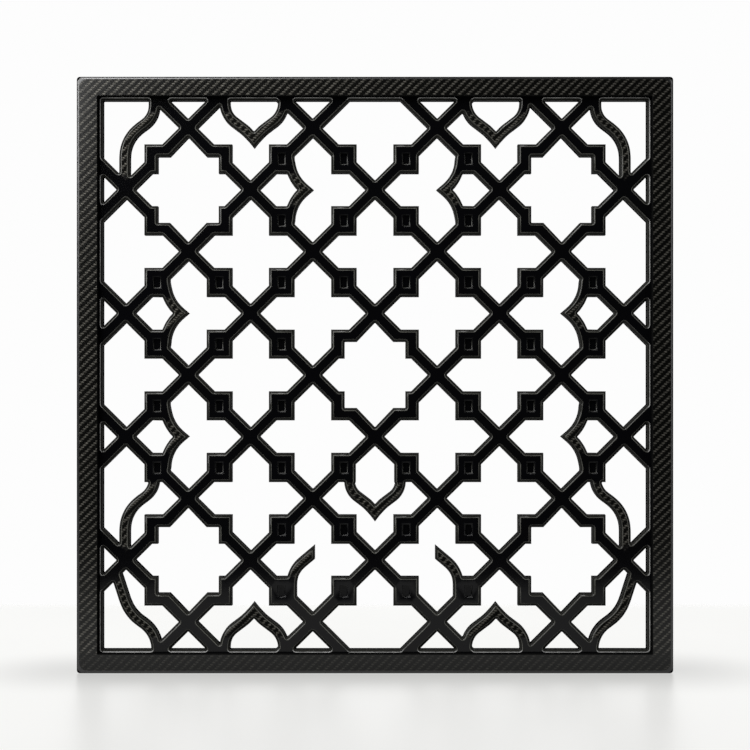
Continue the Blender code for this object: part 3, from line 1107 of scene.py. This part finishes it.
    def build(self, finishes: dict[Finish, Material]) -> Object:
        """Models and dresses the plate.

        Args:
            finishes: the material of each finish.

        Returns:
            The piece.
        """
        low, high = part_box("lattice")
        start = low.y + self.chamfer + self.wall_radius * math.tan(HALF_CHAMFER)
        mesh = self.outlines(start)
        pockets = self.add_pockets(mesh, start)
        bmesh.ops.triangle_fill(mesh, edges=mesh.edges[:], use_beauty=True, normal=(0, -1, 0))
        front_faces = mesh.faces[:]
        slab = bmesh.ops.extrude_face_region(mesh, geom=front_faces)["geom"]
        back_verts = [item for item in slab if isinstance(item, Vert)]
        bmesh.ops.translate(mesh, verts=back_verts, vec=(0, high.y - self.back_arris - start, 0))
        bmesh.ops.recalc_face_normals(mesh, faces=mesh.faces)
        for face in mesh.faces:
            face.material_index = Finish.WALL.value
        back_faces = self.flat_faces(mesh, high.y - self.back_arris)
        for face in back_faces + self.raise_inset(mesh, back_faces, self.back_arris, -self.back_arris):
            face.material_index = Finish.LACQUER.value
        steps = self.arris_steps()
        # The strips next to the flat get the painted highlight line
        for number, (inset, rise) in enumerate(steps):
            finish = Finish.LACQUER
            if number == self.wall_segments:
                finish = Finish.CHAMFER
            elif number >= len(steps) - self.highlight_strips:
                finish = Finish.RUBBED
            for face in self.raise_inset(mesh, front_faces, inset, rise):
                face.material_index = finish.value
        flats = self.refill(mesh, pockets, low.y)
        self.sink_pockets(mesh, pockets)
        for face in pockets:
            face.material_index = Finish.LACQUER.value
        piece = finished_piece("lattice_screen", mesh, [finishes[finish] for finish in Finish], flats)
        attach(piece, "root")
        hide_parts("lattice")
        return piece


@dataclass(frozen=True)
class Softbox:
    """One rectangular light, turned to the screen's middle.

    Its azimuth is in degrees round from straight in front, towards +X, and its elevation above the level.
    """

    name: str
    azimuth: float
    elevation: float
    size: tuple[float, float]
    radiance: float


@dataclass
class Studio:
    """A white room: a pale floor with a soft sheen, softboxes in front, and the camera."""

    camera_place: tuple[float, float, float] = (0.0, -1.82, 0.3)
    lens: float = 86.016
    sensor_width: float = 36.0
    ground: str = "#fdfdfd"
    floor_colour: str = "#ededeb"
    floor_glow: float = 0.84
    floor_front: float = -0.75
    floor_back: float = 0.54
    floor_half_width: float = 1.6
    # How far the floor lies under the screen's foot, so that the two share no plane
    floor_drop: float = 0.0002
    # The length over which its far edge melts away
    floor_fade: float = 0.06
    # A painted shadow round the screen's foot: what share of its glow is left there, and how far from it the
    # glow is whole
    foot_shadow_share: float = 0.74
    foot_shadow_reach: float = 0.15
    grain_colour: str = "#f3f3f1"
    grain_rate: float = 3.0
    sheen_colour: str = "#202020"
    sheen_roughness: float = 0.36
    sheen_specular: float = 0.44
    # How brightly the room lights a surface
    fill: float = 0.25
    # The gloss sees light from behind the screen, which comes in between these two Y of a direction
    behind: tuple[float, float] = (0.25, 0.6)
    # Between these two Z it goes down to this share
    climb: tuple[float, float] = (0.3, 0.6)
    upper_share: float = 0.12
    # The key at the upper left, one above it and one beside it for the arrises, and a weak one on the right
    softboxes: tuple[Softbox, ...] = (
        Softbox("key softbox", -36, 31, (1.2, 1.3), 7.0),
        Softbox("overhead softbox", -32, 58, (0.6, 0.5), 28.0),
        Softbox("left softbox", -66, 20, (0.5, 0.7), 20.0),
        Softbox("right softbox", 52, 14, (0.6, 1.4), 3.5),
    )
    softbox_reach: float = 2.0

    def add_softboxes(self) -> None:
        """Hangs the softboxes in front of the screen, out of the camera's sight."""
        middle = (CAD_BOX[0] + CAD_BOX[1]) / 2
        for softbox in self.softboxes:
            turn, rise = math.radians(softbox.azimuth), math.radians(softbox.elevation)
            level = math.cos(rise)
            away = Vector((math.sin(turn) * level, -math.cos(turn) * level, math.sin(rise)))
            light = bpy.data.lights.new(softbox.name, "AREA")
            light.shape = "RECTANGLE"
            light.size, light.size_y = softbox.size
            light.energy = softbox.radiance * math.pi * light.size * light.size_y
            box = bpy.data.objects.new(softbox.name, light)
            box.location = middle + away * self.softbox_reach
            box.rotation_euler = away.to_track_quat("Z", "Y").to_euler()
            box.visible_camera = False
            bpy.context.scene.collection.objects.link(box)

    def light_world(self) -> None:
        """Gives the camera a white ground, the surfaces a weak fill and the gloss a dark room."""
        world = bpy.data.worlds.new("white studio")
        bpy.context.scene.world = world
        world.use_nodes = True
        tree = world.node_tree
        tree.nodes.clear()
        add = partial(add_node, tree)
        path = add("LightPath").outputs
        ground = add("Background", {"Color": linear(self.ground)})
        fill = add("Background", {"Color": linear(self.ground), "Strength": self.fill})
        towards = add("TexCoord").outputs["Generated"]
        axes = add("SeparateXYZ", {0: towards}).outputs
        behind = add("MapRange", {"Value": axes["Y"], "From Min": self.behind[0], "From Max": self.behind[1]})
        low = add(
            "MapRange",
            {
                "Value": axes["Z"],
                "From Min": self.climb[0],
                "From Max": self.climb[1],
                "To Min": 1.0,
                "To Max": self.upper_share,
            },
        )
        glow = add("Math", {0: behind, 1: low}, operation="MULTIPLY")
        room = add("Background", {"Color": linear(self.ground), "Strength": glow})
        unseen = add("MixShader", {0: path["Is Glossy Ray"], 1: fill, 2: room})
        seen = add("MixShader", {0: path["Is Camera Ray"], 1: unseen, 2: ground})
        add("OutputWorld", {"Surface": seen})

    def lay_floor(self) -> None:
        """Lays the pale floor under the screen, whose far edge melts into the ground."""
        mesh = bmesh.new()
        bmesh.ops.create_grid(mesh, x_segments=2, y_segments=2, size=1.0)
        depth = (self.floor_back - self.floor_front) / 2
        bmesh.ops.scale(mesh, verts=mesh.verts, vec=(self.floor_half_width, depth, 1))
        bmesh.ops.translate(mesh, verts=mesh.verts, vec=(0, self.floor_front + depth, -self.floor_drop))
        data = bpy.data.meshes.new("floor")
        mesh.to_mesh(data)
        mesh.free()
        material, tree, shader = new_surface("satin white board")
        add = partial(add_node, tree)
        place = add("TexCoord").outputs["Object"]
        axes = add("SeparateXYZ", {0: place}).outputs
        grain = add("TexNoise", {"Vector": place, "Scale": self.grain_rate, "Detail": 2.0})
        colour = add(
            "Mix",
            {0: grain.outputs["Fac"], MIX_FROM: linear(self.floor_colour), MIX_TO: linear(self.grain_colour)},
            data_type="RGBA",
        )
        half_width = CAD_BOX[1].x
        outwards = add("Math", {0: axes["X"]}, operation="ABSOLUTE")
        aside = add("Math", {0: outwards, 1: half_width}, operation="SUBTRACT")
        beside = add("Math", {0: aside, 1: 0.0}, operation="MAXIMUM")
        offset = add("CombineXYZ", {"X": beside, "Y": axes["Y"]})
        distance = add("VectorMath", {0: offset}, operation="LENGTH")
        # Painted shadow: the floor's glow dims round the screen's foot
        shade = add(
            "MapRange",
            {
                "Value": distance.outputs["Value"],
                "From Min": 0.0,
                "From Max": self.foot_shadow_reach,
                "To Min": self.floor_glow * self.foot_shadow_share,
                "To Max": self.floor_glow,
            },
            interpolation_type="SMOOTHSTEP",
        )
        fade = add(
            "MapRange",
            {
                "Value": axes["Y"],
                "From Min": self.floor_back - self.floor_fade,
                "From Max": self.floor_back,
                "To Min": 1.0,
                "To Max": 0.0,
            },
            interpolation_type="SMOOTHSTEP",
        )
        finish = {
            "Base Color": linear(self.sheen_colour),
            "Roughness": self.sheen_roughness,
            "Specular IOR Level": self.sheen_specular,
            "Emission Color": colour.outputs[MIXED],
            "Emission Strength": shade,
            "Alpha": fade,
        }
        set_inputs(shader, finish)
        data.materials.append(material)
        floor = bpy.data.objects.new("floor", data)
        bpy.context.scene.collection.objects.link(floor)

    def set_camera(self) -> None:
        """Stands the camera level with the screen's middle, straight in front."""
        lens = bpy.data.cameras.new("camera")
        lens.lens = self.lens
        lens.sensor_width = self.sensor_width
        camera = bpy.data.objects.new("camera", lens)
        camera.location = self.camera_place
        camera.rotation_euler = (math.radians(90), 0, 0)
        bpy.context.scene.collection.objects.link(camera)
        bpy.context.scene.camera = camera
        bpy.context.scene.view_settings.view_transform = "Standard"

    def build(self) -> None:
        """Sets up the camera, the floor, the lights and the room."""
        self.set_camera()
        self.lay_floor()
        self.add_softboxes()
        self.light_world()


def report(piece: Object) -> None:
    """Logs a piece's name and its count of faces."""
    log.info("%s: %d faces", piece.name, len(piece.data.polygons))


def main() -> None:
    """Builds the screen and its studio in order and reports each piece."""
    logging.basicConfig(level=logging.INFO, format="%(message)s")
    twill = CarbonTwill()
    lacquer = BlackLacquer()
    grid = LatticeGrid()
    wall = MilledLaminate().material()
    report(EdgeFrame().build(twill, ResinEdge(), wall))
    finishes = {
        Finish.FRONT: LatticeFront(twill, lacquer, grid).material(),
        Finish.LACQUER: lacquer.material(),
        Finish.RUBBED: PaintedHighlightArris(grid).material(),
        Finish.WALL: wall,
        Finish.CHAMFER: MilledLaminate("satin black chamfer", "#161614", "#20201e").material(),
    }
    report(PiercedLattice().build(finishes))
    Studio().build()


if __name__ == "__main__":
    main()
